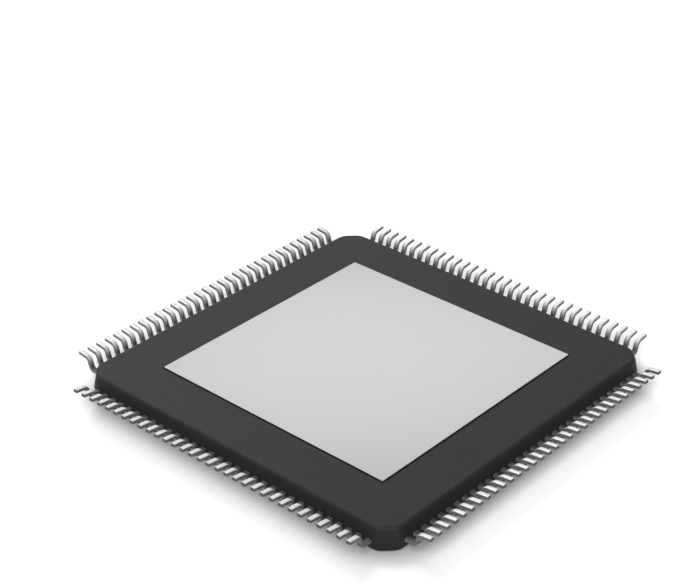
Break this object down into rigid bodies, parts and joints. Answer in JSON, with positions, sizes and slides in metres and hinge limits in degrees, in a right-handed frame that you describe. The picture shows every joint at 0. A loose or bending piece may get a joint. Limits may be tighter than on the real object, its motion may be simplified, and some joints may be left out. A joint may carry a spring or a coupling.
{
  "type": "integrated circuit",
  "caption": "Square moulded surface-mount chip package with gull-wing leads on all four sides and an exposed metal pad, lying on its flat marking face.",
  "frame": {"origin": "centre of the flat marking face, which the part lies on", "axes": "+Z from the marking face towards the exposed pad and the lead soles, +X and +Y along the sides, with the dimple that marks lead 1 at the +X +Y corner"},
  "size_m": [0.016, 0.016, 0.001],
  "materials": {
    "moulding": "fine matte texture of filled epoxy compound",
    "lead_finish": "matte tin plating on copper alloy",
    "pad_finish": "matte tin plating on copper alloy, rolled grain",
    "silicon": "satin",
    "adhesive": "silver-filled epoxy"
  },
  "bodies": {
    "root": {"moulded_body": "moulding", "die_paddle": "pad_finish", "die_attach": "adhesive", "die": "silicon", "leads_001_008": "lead_finish", "leads_009_016": "lead_finish", "leads_017_024": "lead_finish", "leads_025_032": "lead_finish", "leads_033_040": "lead_finish", "leads_041_048": "lead_finish", "leads_049_056": "lead_finish", "leads_057_064": "lead_finish", "leads_065_072": "lead_finish", "leads_073_080": "lead_finish", "leads_081_088": "lead_finish", "leads_089_096": "lead_finish", "leads_097_104": "lead_finish", "leads_105_112": "lead_finish", "leads_113_120": "lead_finish", "leads_121_128": "lead_finish"}
  },
  "joints": []
}
